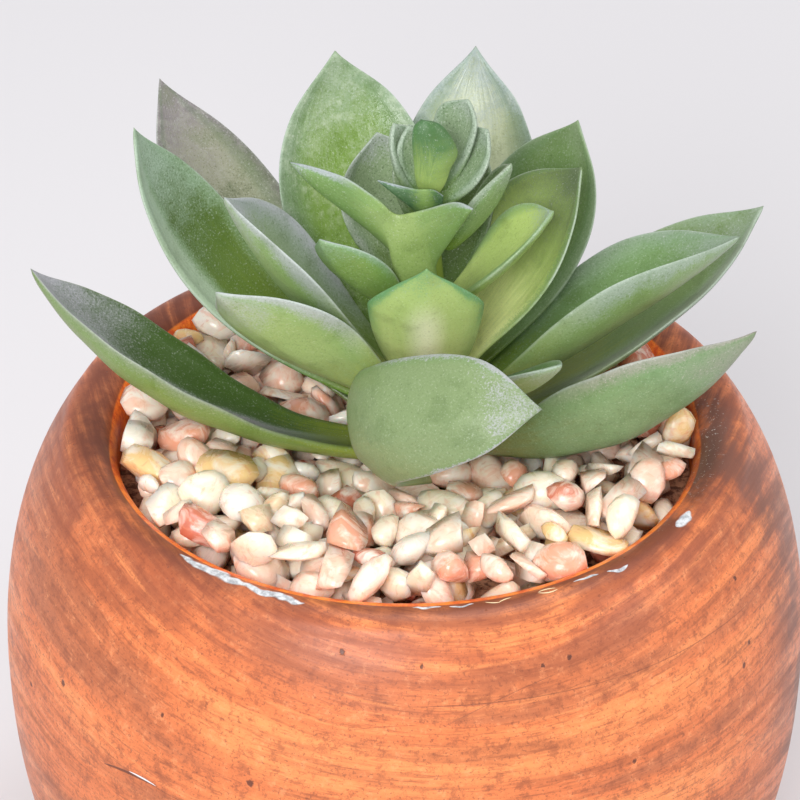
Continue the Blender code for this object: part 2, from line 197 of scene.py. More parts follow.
OUTER_LEAVES = (
    Leaf("outer_leaf_1", 177, 28.5, 0.0605, 0.0870, 0.0095, cup=55, roll=-4, sag=0.09, sway=0.08,
         root_width=0.40, widest=0.66, growth=3.0, thickness=0.0022, left_fold=0.25, hook=0.0006,
         frost_right=0.55, frost_left=2.2, frost_reach=0.75, hue="frosted"),
    Leaf("outer_leaf_2", -61, 41, 0.0440, 0.0878, 0.0095, cup=47, roll=85, twist=40, sag=0.35,
         sway=-0.11, skew=-0.3, root_azimuth=-100, root_radius=0.0049, root_width=0.68,
         widest=0.34, growth=1.1, tip_power=6.0, hook=0.0006, hue="front"),
    Leaf("outer_leaf_3", -42, 35, 0.0263, 0.0980, 0.0060, cup=45, roll=10, hue="green"),
    Leaf("outer_leaf_4", -9, 28, 0.0497, 0.0900, 0.0125, cup=50, roll=50, twist=-25, sag=0.15,
         root_azimuth=-28, root_width=0.30, hue="sage"),
    Leaf("outer_leaf_5", 10, 32, 0.0496, 0.0925, 0.0110, cup=62, roll=6, sag=0.0,
         right_fold=0.42, hue="green"),
    Leaf("outer_leaf_6", 22, 29, 0.0568, 0.0890, 0.0110, cup=45,
         frost_left=0.8, frost_right=1.3, hue="jade"),
    Leaf("outer_leaf_7", 62, 15, 0.0430, 0.0865, 0.0085, root_width=0.30, hue="shade"),
    Leaf("outer_leaf_8", 84, 29, 0.0460, 0.0885, 0.0095, cup=30, hue="shade"),
    Leaf("outer_leaf_9", 115, 16, 0.0470, 0.0865, 0.0095, root_width=0.30, hue="shade"),
    Leaf("outer_leaf_10", 138, 38.5, 0.0632, 0.0895, 0.0110, cup=35, sag=0.12, hook=0.0006,
         hue="dusky"),
)

MIDDLE_LEAVES = (
    Leaf("middle_leaf_1", 167, 46.5, 0.0568, 0.0945, 0.0095, cup=38, roll=14, sag=0.17,
         left_fold=-0.25, hook=0.0006, frost_right=0.8, frost_left=1.8, frost_reach=0.32,
         hue="deep"),
    Leaf("middle_leaf_2", -156, 42, 0.0380, 0.0972, 0.0100, cup=35, roll=-40, sag=0.04, hue="lime"),
    Leaf("middle_leaf_3", -178, 51, 0.0390, 0.1005, 0.0110, cup=60, roll=-8, hue="lime"),
    Leaf("middle_leaf_4", 13, 59, 0.0363, 0.1010, 0.0105, cup=28, roll=-14, sag=0.0, hue="golden"),
    Leaf("middle_leaf_5", 41, 53.5, 0.0425, 0.0975, 0.0110, cup=36, roll=-6, sag=0.12, hue="shade"),
    Leaf("middle_leaf_6", 79, 49, 0.0546, 0.0915, 0.0115, sway=-0.02, hook=0.0006,
         hue="pale_panel_and_sheen"),
    Leaf("middle_leaf_7", 114, 55, 0.0506, 0.0955, 0.0130, sway=0.04, growth=1.4, hook=0.0006,
         hue="panel"),
)

INNER_LEAVES = (
    Leaf("inner_leaf_1", -90, 66, 0.0271, 0.1030, 0.0088, cup=35, root_width=0.62, growth=1.2,
         widest=0.62, tip_power=1.25, hue="fan"),
    Leaf("inner_leaf_2", -152, 48, 0.0204, 0.1130, 0.0060, roll=-30, hue="mossy"),
    Leaf("inner_leaf_3", -10, 49, 0.0226, 0.1128, 0.0072, roll=-8, sag=0.02, hue="leafy"),
    Leaf("inner_leaf_4", 118, 61.5, 0.0241, 0.1120, 0.0095, cup=45, sag=0.12, hue="misty"),
    Leaf("inner_leaf_5", 60, 60, 0.0260, 0.1075, 0.0045, cup=45, hue="bloom"),
    Leaf("inner_leaf_6", 0, 56, 0.0166, 0.1220, 0.0060, cup=45, roll=18, hue="bloom"),
    Leaf("inner_leaf_7", 92, 62, 0.0160, 0.1210, 0.0050, cup=45, hue="bloom"),
)


class Sheet(NamedTuple):
    """A smooth web of leaf between two edges that meet at its tips; points in millimetres."""
    name: str
    rim: tuple
    foot: tuple
    bulge: float
    thickness: float
    neck: float
    hue: str


LEAF_PAIR = (
    Sheet("leaf_pair_web",
          rim=((-16.1, -2.5, 137.4), (-13.2, -3.0, 137.0), (-10.5, -3.5, 136.4), (-7.7, -4.4, 135.6),
               (-3.9, -5.0, 132.9), (-1.5, -5.2, 130.6), (0.6, -5.7, 131.0), (3.1, -6.4, 132.1),
               (7.0, -8.2, 134.3), (9.5, -9.5, 134.0)),
          foot=((-16.1, -2.5, 137.4), (-12.9, -2.8, 133.6), (-7.7, -3.3, 129.2), (-4.2, -3.6, 126.0),
                (-1.4, -3.8, 122.5), (-0.9, -3.9, 117.5), (4.2, -3.9, 117.5), (4.4, -4.8, 122.0),
                (6.6, -7.2, 127.6), (9.5, -9.5, 134.0)),
          bulge=0.0009, thickness=0.0012, neck=0.60, hue="web"),
)

HEART_SHEETS = (
    Sheet("heart_fold",
          rim=((-3.9, -3.0, 134.8), (-1.3, -4.0, 134.6), (1.5, -4.8, 134.4), (3.9, -4.8, 134.3),
               (5.4, -3.8, 132.7)),
          foot=((-3.9, -3.0, 134.8), (-1.7, -3.6, 133.2), (0.5, -3.2, 130.8), (2.8, -2.6, 128.2),
                (4.8, -2.8, 129.6), (5.4, -3.8, 132.7)),
          bulge=0.0004, thickness=0.0008, neck=0.62, hue="fold"),
    Sheet("heart_bud",
          rim=((2.6, -1.8, 130.6), (1.5, -2.6, 134.4), (1.1, -3.2, 138.1), (0.9, -3.2, 141.3),
               (1.2, -2.8, 143.3), (2.2, -2.2, 144.2)),
          foot=((3.9, -1.8, 130.6), (5.6, -2.6, 133.9), (6.4, -2.8, 136.5), (7.4, -2.4, 138.9),
                (6.3, -2.2, 141.5), (4.7, -2.2, 143.5), (2.2, -2.2, 144.2)),
          bulge=0.0010, thickness=0.0010, neck=0.0, hue="bud"),
)

HEART_LEAVES = (
    Leaf("heart_left", 150, 70, 0.0125, 0.1290, 0.0036, cup=45, root_radius=0.0010, tip_power=3.0,
         hue="crown"),
    Leaf("heart_back", 40, 67, 0.0150, 0.1295, 0.0046, cup=45, root_radius=0.0018, tip_power=3.4,
         widest=0.66, hue="crown"),
    Leaf("heart_back_left", 129, 75, 0.0108, 0.1300, 0.0036, cup=35, root_radius=0.0010,
         hue="crown"),
    Leaf("heart_right", 12, 57, 0.0140, 0.1285, 0.0052, cup=40, roll=-20, root_radius=0.0012,
         tip_power=3.0, hue="crown"),
)


class Hue(NamedTuple):
    """A leaf's tones, 0 to 255 on screen, and how far they reach: on top at the root, middle,
    edge and tip, and underneath at the root, middle and edge."""
    top: tuple
    under: tuple
    root_length: float = 0.45
    edge_width: float = 0.40
    tip_length: float = 0.28
    # frost: strength of the pale edge line, partly frosting and partly a painted highlight
    frost: float = 0.6
    gloss: float = 0.0
    glow: float = 0.0
    grain: float = 1.0


LEAF_SKIN = "leaf_skin"
TONE_SOCKETS = ("Root", "Middle", "Edge", "Tip", "Under Root", "Under", "Under Edge")
ZONE_SOCKETS = ("Root Length", "Edge Width", "Tip Length", "Frost", "Gloss", "Glow", "Grain")
HUES = {
    "frosted": Hue(top=((120, 134, 44), (66, 92, 38), (154, 152, 158), (156, 156, 162)),
                   under=((150, 164, 64), (126, 150, 76), (128, 146, 104)),
                   root_length=0.35, edge_width=0.30, tip_length=0.40, frost=0.20),
    "deep": Hue(top=((108, 130, 44), (82, 106, 56), (166, 186, 158), (150, 172, 150)),
                under=((104, 142, 50), (140, 168, 124), (176, 196, 168)),
                root_length=0.90, edge_width=0.50, tip_length=0.40, frost=0.80),
    "dusky": Hue(top=((60, 80, 40), (178, 178, 154), (116, 116, 106), (134, 126, 130)),
                 under=((120, 130, 70), (120, 132, 96), (140, 140, 136)),
                 root_length=0.95, edge_width=0.46, tip_length=0.34, gloss=0.12, grain=1.60),
    "panel": Hue(top=((88, 116, 54), (118, 148, 66), (138, 160, 128), (142, 162, 132)),
                 under=((120, 146, 60), (120, 146, 90), (150, 172, 150)),
                 root_length=0.50, edge_width=0.56, tip_length=0.35, gloss=0.18),
    # Its pale middle is partly the leaf's cream panel and partly a painted sheen
    "pale_panel_and_sheen": Hue(top=((110, 144, 80), (194, 202, 164), (138, 156, 142), (150, 164, 160)),
                      under=((140, 156, 70), (128, 150, 96), (150, 164, 150)),
                      edge_width=0.52, gloss=0.12),
    "shade": Hue(top=((112, 130, 52), (116, 144, 86), (132, 154, 118), (118, 138, 100)),
                 under=((130, 150, 56), (108, 132, 72), (140, 164, 130))),
    "golden": Hue(top=((250, 252, 180), (166, 188, 106), (128, 154, 96), (84, 100, 66)),
                  under=((180, 196, 110), (150, 178, 100), (140, 164, 120)),
                  root_length=0.72, edge_width=0.18, tip_length=0.50, frost=0.80),
    "green": Hue(top=((130, 156, 60), (112, 142, 90), (130, 150, 124), (128, 146, 126)),
                 under=((168, 176, 96), (138, 162, 100), (150, 166, 150))),
    "leafy": Hue(top=((194, 212, 130), (176, 198, 114), (134, 164, 110), (140, 160, 142)),
                 under=((176, 190, 96), (146, 172, 92), (138, 162, 120)),
                 edge_width=0.36, tip_length=0.22),
    "sage": Hue(top=((140, 140, 70), (124, 146, 98), (150, 148, 150), (140, 120, 118)),
                under=((134, 142, 78), (122, 152, 106), (146, 146, 132))),
    "front": Hue(top=((150, 164, 110), (134, 160, 110), (158, 164, 158), (140, 158, 128)),
                 under=((140, 154, 92), (124, 144, 98), (160, 162, 166)),
                 edge_width=0.18, tip_length=0.10, frost=0.25, grain=0.90),
    "lime": Hue(top=((120, 144, 60), (146, 166, 130), (172, 176, 180), (176, 180, 186)),
                under=((178, 192, 100), (150, 176, 108), (162, 168, 166)), edge_width=0.55, frost=0.90),
    "web": Hue(top=((142, 166, 96), (108, 138, 74), (150, 158, 162), (150, 158, 168)),
               under=((142, 166, 96), (104, 136, 72), (148, 156, 160)),
               root_length=0.60, edge_width=0.45, tip_length=0.18),
    "jade": Hue(top=((176, 180, 76), (118, 144, 82), (152, 164, 140), (134, 150, 128)),
                under=((168, 176, 96), (138, 162, 100), (150, 166, 150)),
                root_length=0.60, edge_width=0.55),
    "mossy": Hue(top=((130, 150, 70), (106, 132, 68), (150, 158, 160), (150, 158, 160)),
                 under=((168, 182, 96), (116, 146, 74), (120, 150, 116))),
    "crown": Hue(top=((110, 140, 70), (134, 156, 120), (152, 170, 148), (150, 166, 148)),
                 under=((140, 166, 84), (136, 160, 116), (158, 172, 156)),
                 edge_width=0.50, frost=0.00, grain=2.00),
    "fan": Hue(top=((190, 204, 140), (160, 186, 112), (110, 150, 100), (110, 150, 104)),
               under=((186, 200, 128), (158, 184, 108), (84, 138, 88)),
               root_length=0.75, edge_width=0.34, tip_length=0.18, frost=0.00, glow=0.60),
    "misty": Hue(top=((110, 136, 60), (146, 166, 128), (160, 170, 156), (162, 170, 164)),
                 under=((120, 148, 60), (124, 150, 96), (142, 158, 138)),
                 tip_length=0.22, frost=0.20, grain=2.00),
    "bloom": Hue(top=((96, 128, 54), (96, 118, 66), (118, 136, 100), (126, 140, 114)),
                 under=((120, 148, 60), (124, 150, 96), (142, 158, 138)), frost=0.30, grain=1.80),
    "fold": Hue(top=((120, 150, 80), (100, 134, 84), (140, 150, 158), (150, 158, 156)),
                under=((120, 150, 80), (66, 100, 62), (140, 150, 158)),
                root_length=0.35, edge_width=0.30, tip_length=0.20),
    "bud": Hue(top=((166, 190, 104), (76, 120, 60), (108, 146, 96), (70, 112, 66)),
               under=((166, 190, 104), (68, 108, 56), (70, 108, 68)),
               root_length=0.70, edge_width=0.25, tip_length=0.60, frost=0.20),
}


def paint(tone):
    """A tone, 0 to 255 on screen, as the linear colour that a socket takes."""
    linear = []
    for value in tone:
        share = value / 255
        linear.append(share / 12.92 if share <= 0.04045 else ((share + 0.055) / 1.055) ** 2.4)
    return (*linear, 1.0)


def deselect_all():
    """Leave nothing selected."""
    bpy.ops.object.select_all(action="DESELECT")


def make_active(*objects):
    """Select these objects alone, with the first one active."""
    deselect_all()
    for obj in objects:
        obj.select_set(True)
    bpy.context.view_layer.objects.active = objects[0]


def finish_piece(obj, slot, *nodes):
    """Hand a finished piece to the frame: what it rides on, and what it replaces; the slot is not used.
    """
    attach(obj, BODY)
    if nodes:
        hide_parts(*nodes)


def set_inputs(tree, node, values):
    """Set a node's inputs to plain values, and link those whose value is a socket."""
    for key, value in values.items():
        if isinstance(value, bpy.types.NodeSocket):
            tree.links.new(value, node.inputs[key])
        else:
            node.inputs[key].default_value = value


def add_node(tree, kind, values=None, **settings):
    """Add a shader node, and give it its properties and inputs."""
    new = tree.nodes.new(kind)
    for key, value in settings.items():
        setattr(new, key, value)
    set_inputs(tree, new, values or {})
    return new


def math_node(tree, operation, *values, clamp=False):
    """A Math node; its inputs are sockets or numbers. Returns its output."""
    new = add_node(tree, "ShaderNodeMath", dict(enumerate(values)), operation=operation,
                   use_clamp=clamp)
    return new.outputs[0]


def times(tree, first, second):
    """One value times another: a mask within a mask, or a mask made weaker or stronger."""
    return math_node(tree, "MULTIPLY", first, second)


def plus(tree, first, second):
    """The sum of two values."""
    return math_node(tree, "ADD", first, second)


def minus(tree, first, second):
    """One value less another."""
    return math_node(tree, "SUBTRACT", first, second)


def swing(tree, value, amount):
    """Noise made to swing to both sides of nought by an amount."""
    return times(tree, minus(tree, value, 0.5), amount)


def strongest(tree, masks):
    """The strongest of several masks at each place."""
    most = masks[0]
    for mask in masks[1:]:
        most = math_node(tree, "MAXIMUM", most, mask)
    return most


def ramp(tree, value, low, high, out_low=0.0, out_high=1.0):
    """A smooth step of a value between two limits, which are sockets or numbers."""
    new = add_node(tree, "ShaderNodeMapRange",
                   {"Value": value, "From Min": low, "From Max": high, "To Min": out_low,
                    "To Max": out_high}, interpolation_type="SMOOTHSTEP")
    return new.outputs["Result"]


def window(tree, value, low, high, soft):
    """One between two limits and nought outside them, with soft sides."""
    rise = ramp(tree, value, low - soft, low + soft)
    return times(tree, rise, ramp(tree, value, high - soft, high + soft, 1.0, 0.0))


def blend(tree, share, first, second):
    """Mix two colours, each a socket or a value, by a share. Returns the mixed colour."""
    new = add_node(tree, "ShaderNodeMix",
                   {MIX_SHARE: share, MIX_FIRST: first, MIX_SECOND: second}, data_type="RGBA")
    return new.outputs[MIX_RESULT]


def coat(tree, colour, mask, tone, strength=1.0):
    """Lay a tone over a colour where a mask is, at a strength."""
    if strength != 1.0:
        mask = times(tree, mask, strength)
    return blend(tree, mask, colour, paint(tone))


def noise(tree, vector, scale, detail=3.0, roughness=0.5, distortion=0.0):
    """A Noise Texture on a vector. Returns its value, which lies about 0.5."""
    new = add_node(tree, "ShaderNodeTexNoise",
                   {"Vector": vector, "Scale": scale, "Detail": detail, "Roughness": roughness,
                    "Distortion": distortion})
    return new.outputs["Fac"]


def object_vector(tree, scale=1):
    """Object coordinates, which are metres in the frame, times a scale."""
    place = add_node(tree, "ShaderNodeTexCoord").outputs["Object"]
    mapping = add_node(tree, "ShaderNodeMapping", {"Vector": place, "Scale": (scale,) * 3})
    return mapping.outputs["Vector"]


def split(tree, vector):
    """The three parts of a vector."""
    return add_node(tree, "ShaderNodeSeparateXYZ", {"Vector": vector}).outputs


def flat_place(tree, across, up):
    """Two values as a vector."""
    return add_node(tree, "ShaderNodeCombineXYZ", {"X": across, "Y": up}).outputs["Vector"]


def length_of(tree, vector):
    """How long a vector is."""
    return add_node(tree, "ShaderNodeVectorMath", {0: vector}, operation="LENGTH").outputs["Value"]


def attribute(tree, name):
    """A number that a mesh carries at its points."""
    return add_node(tree, "ShaderNodeAttribute", attribute_name=name).outputs["Fac"]


def new_material(name):
    """An empty material with its Principled shader. Returns material, tree and shader."""
    material = bpy.data.materials.new(name)
    material.use_nodes = True
    tree = material.node_tree
    return material, tree, tree.nodes["Principled BSDF"]


def add_bump(tree, shader, height, strength, distance):
    """Feed a height to the shader's normal."""
    bump = add_node(tree, "ShaderNodeBump",
                    {"Strength": strength, "Distance": distance, "Height": height})
    set_inputs(tree, shader, {"Normal": bump.outputs["Normal"]})


def make_leaf_skin():
    """Node group: a leaf's colour with its painted highlights, roughness and height from its place on
    the leaf.
    """
    tree = bpy.data.node_groups.new(LEAF_SKIN, "ShaderNodeTree")
    for names, way, kind in ((TONE_SOCKETS, "INPUT", "Color"), (ZONE_SOCKETS, "INPUT", "Float"),
                             (("Color",), "OUTPUT", "Color"),
                             (("Roughness", "Height"), "OUTPUT", "Float")):
        for name in names:
            tree.interface.new_socket(name, in_out=way, socket_type="NodeSocket" + kind)
    given = tree.nodes.new("NodeGroupInput").outputs

    along = attribute(tree, "along")
    side = attribute(tree, "across")
    across = math_node(tree, "ABSOLUTE", side)
    place = object_vector(tree)
    cloud = noise(tree, place, 190, detail=4, roughness=0.6)
    grain = noise(tree, place, 3400, detail=2, roughness=0.75)
    dimple = noise(tree, place, 800, detail=3, roughness=0.6)
    lengthwise = flat_place(tree, times(tree, along, 5.0), times(tree, side, 13.0))
    fibres = noise(tree, lengthwise, 1.0, detail=4, roughness=0.6)

    drift = plus(tree, swing(tree, cloud, 0.32), swing(tree, grain, 0.38))
    blurred_along = plus(tree, along, drift)
    blurred_across = plus(tree, attribute(tree, "frost"), times(tree, drift, 0.8))
    streaked_along = plus(tree, blurred_along, swing(tree, fibres, 0.35))
    from_root = ramp(tree, streaked_along, 0.05, given["Root Length"])
    at_edge = ramp(tree, blurred_across, minus(tree, 1.0, given["Edge Width"]), 1.0)
    at_edge = times(tree, at_edge, ramp(tree, along, 0.10, 0.40))
    at_tip = ramp(tree, blurred_along, minus(tree, 1.0, given["Tip Length"]), 1.0)

    top = blend(tree, from_root, given["Root"], given["Middle"])
    top = blend(tree, at_edge, top, given["Edge"])
    top = blend(tree, at_tip, top, given["Tip"])
    under = blend(tree, from_root, given["Under Root"], given["Under"])
    under_margin = times(tree, ramp(tree, at_edge, 0.4, 1.0), ramp(tree, along, 0.35, 0.65, 0, 0.9))
    under_margin = strongest(tree, (under_margin, times(tree, at_tip, 0.7)))
    under = blend(tree, under_margin, under, given["Under Edge"])
    skin = blend(tree, attribute(tree, "upper"), under, top)
    halo = times(tree, at_edge, minus(tree, 1.0, at_edge))
    skin = coat(tree, skin, halo, (88, 138, 66), 0.7)
    # Painted highlight: a pale stripe down the middle of the leaf, fading toward the tip
    glow = times(tree, ramp(tree, across, 0.42, 0.0), given["Glow"])
    glow = times(tree, glow, ramp(tree, along, 0.85, 0.55))
    skin = coat(tree, skin, glow, (232, 236, 206))
    # Pale line along the leaf's edge: partly frosting, partly a painted rim highlight
    rim = times(tree, ramp(tree, across, 0.965, 1.0), ramp(tree, cloud, 0.35, 0.6, 0.10, 0.55))
    rim = times(tree, rim, ramp(tree, along, 0.15, 0.4))
    skin = coat(tree, skin, times(tree, rim, given["Frost"]), (186, 198, 190))

    pale = times(tree, ramp(tree, grain, 0.57, 0.73, 0, 0.24), given["Grain"])
    dark = times(tree, ramp(tree, grain, 0.45, 0.29, 0, 0.32), given["Grain"])
    skin = coat(tree, skin, ramp(tree, cloud, 0.50, 0.30), (70, 96, 44), 0.26)
    skin = coat(tree, skin, pale, (222, 228, 214))
    skin = coat(tree, skin, dark, (48, 62, 36))
    # Painted sheen: pale crinkled patches standing in for glints on the glossier leaves, scaled by
    # Gloss
    painted_sheen = times(tree, ramp(tree, dimple, 0.40, 0.70), ramp(tree, cloud, 0.36, 0.72))
    painted_sheen = times(tree, painted_sheen, times(tree, given["Gloss"], 1.6))
    skin = coat(tree, skin, painted_sheen, (228, 234, 212))

    rough = plus(tree, ramp(tree, cloud, 0.3, 0.7, 0.34, 0.50), times(tree, pale, 0.6))
    rough = math_node(tree, "SUBTRACT", rough, given["Gloss"], clamp=True)
    swell = times(tree, cloud, times(tree, given["Gloss"], 22.0))
    crease = times(tree, fibres, math_node(tree, "MULTIPLY_ADD", given["Gloss"], 8.0, 0.9))
    height = plus(tree, plus(tree, times(tree, grain, 0.4), dimple), plus(tree, swell, crease))
    set_inputs(tree, tree.nodes.new("NodeGroupOutput"),
               {"Color": skin, "Roughness": rough, "Height": height})


def leaf_material(leaf):
    """One leaf's finish: the shared skin with this leaf's own colours."""
    material, tree, shader = new_material(leaf.name)
    hue = HUES[leaf.hue]
    values = {name: paint(tone) for name, tone in zip(TONE_SOCKETS, hue.top + hue.under)}
    values.update(zip(ZONE_SOCKETS, hue[2:]))
    skin = add_node(tree, "ShaderNodeGroup", values, node_tree=bpy.data.node_groups[LEAF_SKIN])
    set_inputs(tree, shader, {"Base Color": skin.outputs["Color"],
                              "Roughness": skin.outputs["Roughness"],
                              "Specular IOR Level": 0.45})
    add_bump(tree, shader, skin.outputs["Height"], 0.30, 0.0002)
    return material


def stem_radius(height):
    """Radius of the stem at a height."""
    for (low, low_radius), (high, high_radius) in zip(STEM_OUTLINE, STEM_OUTLINE[1:]):
        if height <= high:
            return low_radius + (high_radius - low_radius) * (height - low) / (high - low)
    return STEM_OUTLINE[-1][1]


def leaf_frame(leaf):
    """Root point, and unit vectors along the chord, out of the upper face and to the left."""
    azimuth = math.radians(leaf.azimuth)
    rise = math.radians(leaf.rise)
    roll = math.radians(leaf.roll)
    along = Vector((math.cos(rise) * math.cos(azimuth), math.cos(rise) * math.sin(azimuth),
                    math.sin(rise)))
    upper = Vector((-math.sin(rise) * math.cos(azimuth), -math.sin(rise) * math.sin(azimuth),
                    math.cos(rise)))
    left = upper.cross(along)
    rolled = upper * math.cos(roll) + left * math.sin(roll)
    side = left * math.cos(roll) - upper * math.sin(roll)
    radius = leaf.root_radius
    if radius is None:
        radius = stem_radius(leaf.root_height) + ROOT_CLEARANCE
    root_azimuth = azimuth if leaf.root_azimuth is None else math.radians(leaf.root_azimuth)
    root = Vector((PLANT_X + radius * math.cos(root_azimuth), radius * math.sin(root_azimuth),
                   leaf.root_height))
    return root, along, rolled, side


def leaf_half_width(leaf, t):
    """Half the leaf's width at shares t of its length."""
    share = np.sin(np.pi / 2 * np.clip(t / leaf.widest, 0, 1)) ** leaf.growth
    lower = leaf.root_width + (1 - leaf.root_width) * share
    run = np.clip((t - leaf.widest) / (1 - leaf.widest), 0, 1)
    upper = 1 - run ** leaf.tip_power
    width = np.where(t < leaf.widest, lower, upper)
    rounding = np.sqrt(1 - (1 - np.clip(t / ROOT_ROUNDING, 0, 1)) ** 2)
    return leaf.half_width * width * rounding


def leaf_points(leaf, t, turn):
    """Points of a leaf's skin at shares t of its length and angles round its section."""
    root, along, upper, left = (np.array(part) for part in leaf_frame(leaf))
    bow = 4 * t * (1 - t) * leaf.length
    to_tip = np.clip((t - TIP_START) / (1 - TIP_START), 0, 1)
    lift = leaf.hook * to_tip ** 2 - leaf.sag * bow
    centre = root + np.outer(leaf.length * t, along)
    centre += np.outer(lift, upper) + np.outer(leaf.sway * bow, left)
    wind = np.radians(leaf.twist) * (t - 0.5)
    out = np.outer(np.cos(wind), upper) + np.outer(np.sin(wind), left)
    side = np.outer(np.cos(wind), left) - np.outer(np.sin(wind), upper)
    half_width = leaf_half_width(leaf, t) * (1 - TIP_PINCH * to_tip * to_tip)
    half_thickness = leaf.thickness / 2 * (THICKNESS_AT_ROOT * (1 - t) + THICKNESS_AT_TIP * t)
    half_thickness *= np.sqrt(np.minimum(1, half_width / (LEAST_WIDTH_TO_THICKNESS * half_thickness)))
    cup = np.radians(leaf.cup) * (CUP_AT_ENDS + (1 - CUP_AT_ENDS) * np.sin(np.pi * t))
    curve = np.maximum(half_width, 1e-7) / cup
    place = np.cos(turn)
    across = place * cup
    across *= 1 + leaf.skew * np.sign(across)
    across *= 1 + np.where(place > 0, leaf.left_fold, leaf.right_fold) * np.abs(place)
    level = np.sin(turn)
    rise = np.sign(level) * np.abs(level) ** SECTION_POWER * half_thickness
    fullness = np.minimum(1, half_width / leaf.half_width)
    shoulder = SHOULDER_HEIGHT * np.exp(-((np.abs(place) - SHOULDER_PLACE) / SHOULDER_SPREAD) ** 2)
    keel = KEEL_DEPTH * np.exp(-(place / KEEL_SPREAD) ** 2)
    rise += fullness * np.where(level > 0, shoulder * level, keel * level)
    inset = curve - rise
    return (centre + side * (inset * np.sin(across))[:, None]
            + out * (curve - inset * np.cos(across))[:, None])


def ripple(name, half_width, points, t):
    """A little swelling and hollowing, as in a leaf pulled from a mould."""
    draw = random.Random(name)
    shift = np.zeros_like(points)
    for wave in range(RIPPLES):
        way = np.array([draw.gauss(0, 1) for axis in range(3)])
        push = np.array([draw.gauss(0, 1) for axis in range(3)])
        run = points @ (way / np.linalg.norm(way)) * draw.uniform(200, 620) + draw.uniform(0, 6.3)
        shift += np.outer(np.sin(run), push / np.linalg.norm(push))
    strength = RIPPLE_HEIGHT * half_width / RIPPLE_HALF_WIDTH * np.sin(np.pi * np.clip(t, 0, 1))
    return points + shift * strength[:, None]


def curve_through(points, share):
    """A smooth curve through evenly spaced points, read at shares of its run."""
    points = np.array(points)
    padded = np.vstack((2 * points[0] - points[1], points, 2 * points[-1] - points[-2]))
    run = np.clip(share, 0, 1) * (len(points) - 1)
    first = np.minimum(run.astype(int), len(points) - 2)
    s = (run - first)[:, None]
    a, b, c, d = (padded[first + step] for step in range(4))
    return 0.5 * (2 * b + (c - a) * s + (2 * a - 5 * b + 4 * c - d) * s ** 2
                  + (3 * b - a - 3 * c + d) * s ** 3)


def sheet_points(sheet, t, turn):
    """Points of a web's skin at shares t from tip to tip and angles round its section."""
    rim = curve_through(sheet.rim, t) / 1000
    foot = curve_through(sheet.foot, t) / 1000
    share = ((1 - np.cos(turn)) / 2)[:, None]
    step = 0.002
    ahead = curve_through(sheet.rim, t + step) - curve_through(sheet.rim, t - step)
    out = np.cross(ahead, foot - rim)
    length = np.linalg.norm(out, axis=1, keepdims=True)
    out = np.where(length > 1e-9, out / np.maximum(length, 1e-9), (0, -1, 0))
    out *= np.where(out[:, 1:2] > 0, -1, 1)
    width = np.linalg.norm(foot - rim, axis=1, keepdims=True)
    half = sheet.thickness / 2 * np.minimum(1, width / (2 * sheet.thickness)) ** 0.5
    level = np.sin(turn)[:, None]
    rise = np.sign(level) * np.abs(level) ** SHEET_POWER * half
    swell = sheet.bulge * 4 * share * (1 - share) * np.sin(np.pi * t)[:, None]
    return rim * (1 - share) + foot * share + out * (swell + rise)


def build_skin(shape):
    """A UV sphere whose poles become the shape's ends, with its place kept at each point."""
    deselect_all()
    bpy.ops.mesh.primitive_uv_sphere_add(segments=LEAF_SEGMENTS, ring_count=LEAF_RINGS, radius=1)
    obj = bpy.context.object
    obj.name = shape.name + "_skin"
    mesh = obj.data
    ball = np.empty(len(mesh.vertices) * 3)
    mesh.vertices.foreach_get("co", ball)
    ball = ball.reshape(-1, 3)
    depth = np.clip(-ball[:, 2], -1, 1)
    share = np.arccos(depth) / np.pi
    t = share + STATION_CROWDING * ((1 - depth) / 2 - share)
    turn = np.arctan2(ball[:, 1], ball[:, 0])
    upper = 0.5 + 0.5 * np.clip(np.sin(turn) * 3, -1, 1)
    across = np.cos(turn)
    if isinstance(shape, Sheet):
        points = ripple(shape.name, SHEET_HALF_WIDTH, sheet_points(shape, t, turn), t)
        upper = 1 - upper
        across = np.clip(across, 0, 1)
        frost = across
        along = np.abs(t - shape.neck) / max(shape.neck, 1 - shape.neck)
    else:
        points = ripple(shape.name, shape.half_width, leaf_points(shape, t, turn), t)
        along = t
        reach = shape.frost_reach
        left_frost = shape.frost_left * (across + reach) / (1 + reach)
        frost = np.where(across > -reach, left_frost, -shape.frost_right * across)
        frost = np.where(upper < 0.5, np.abs(across), frost)
    mesh.vertices.foreach_set("co", points.ravel())
    for name, values in (("along", along), ("across", across), ("upper", upper), ("frost", frost)):
        kept = mesh.attributes.new(name, "FLOAT", "POINT")
        kept.data.foreach_set("value", values.astype(np.float32))
    mesh.update()
    make_active(obj)
    if isinstance(shape, Sheet):
        bpy.ops.object.mode_set(mode="EDIT")
        bpy.ops.mesh.select_all(action="SELECT")
        bpy.ops.mesh.normals_make_consistent(inside=False)
        bpy.ops.object.mode_set(mode="OBJECT")
    bpy.ops.object.shade_smooth()
    obj.data.materials.append(leaf_material(shape))
    return obj


def build_leaves():
    """Every separate leaf, in place of its solid."""
    for leaves, slot in ((OUTER_LEAVES, "outer_leaf"), (MIDDLE_LEAVES, "middle_leaf"),
                         (INNER_LEAVES, "inner_leaf")):
        for leaf in leaves:
            finish_piece(build_skin(leaf), slot, leaf.name)


def build_cluster(name, shapes, slot):
    """Leaves that have grown together, as one piece."""
    make_active(*[build_skin(shape) for shape in shapes])
    bpy.ops.object.join()
    joined = bpy.context.object
    joined.name = name + "_skin"
    finish_piece(joined, slot, name)


